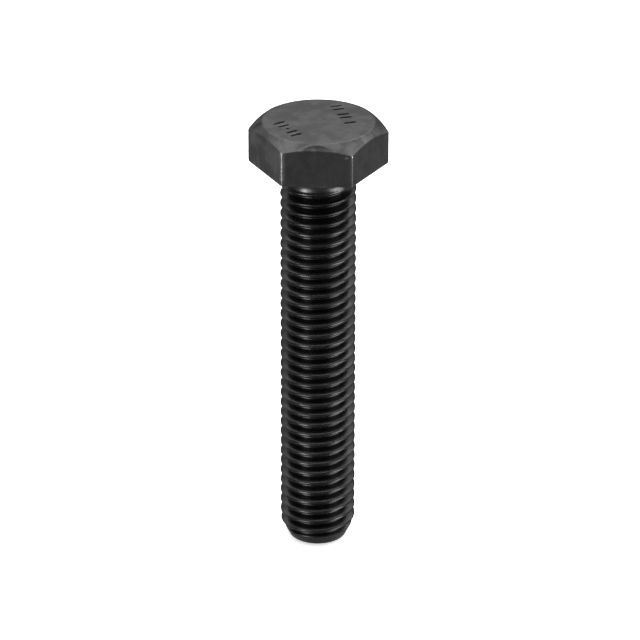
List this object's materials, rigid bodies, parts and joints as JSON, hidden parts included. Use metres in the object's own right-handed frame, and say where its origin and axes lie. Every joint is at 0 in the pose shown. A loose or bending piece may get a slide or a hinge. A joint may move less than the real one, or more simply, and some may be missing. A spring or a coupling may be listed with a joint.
{
  "type": "hex bolt",
  "caption": "Black steel hexagon head bolt, fully threaded, with a washer face, a short neck, an ISO metric thread and a chamfered end.",
  "frame": {"origin": "centre of the bearing face under the head, where the bolt seats", "axes": "+Z along the bolt's axis, up through the head; the shank runs down -Z; +X through a corner of the hexagon, so two flats face -Y and +Y"},
  "size_m": [0.0218, 0.019, 0.0725],
  "materials": {
    "head_steel": "black oxide on forged steel, satin, worn on the edges",
    "shank_steel": "black oxide, semi-gloss",
    "thread_steel": "black oxide on rolled thread, oiled semi-gloss"
  },
  "bodies": {
    "root": {"hex_head": "head_steel", "washer_face": "head_steel", "neck": "shank_steel", "shank_core": "shank_steel", "thread": "thread_steel", "point": "shank_steel"}
  },
  "joints": []
}
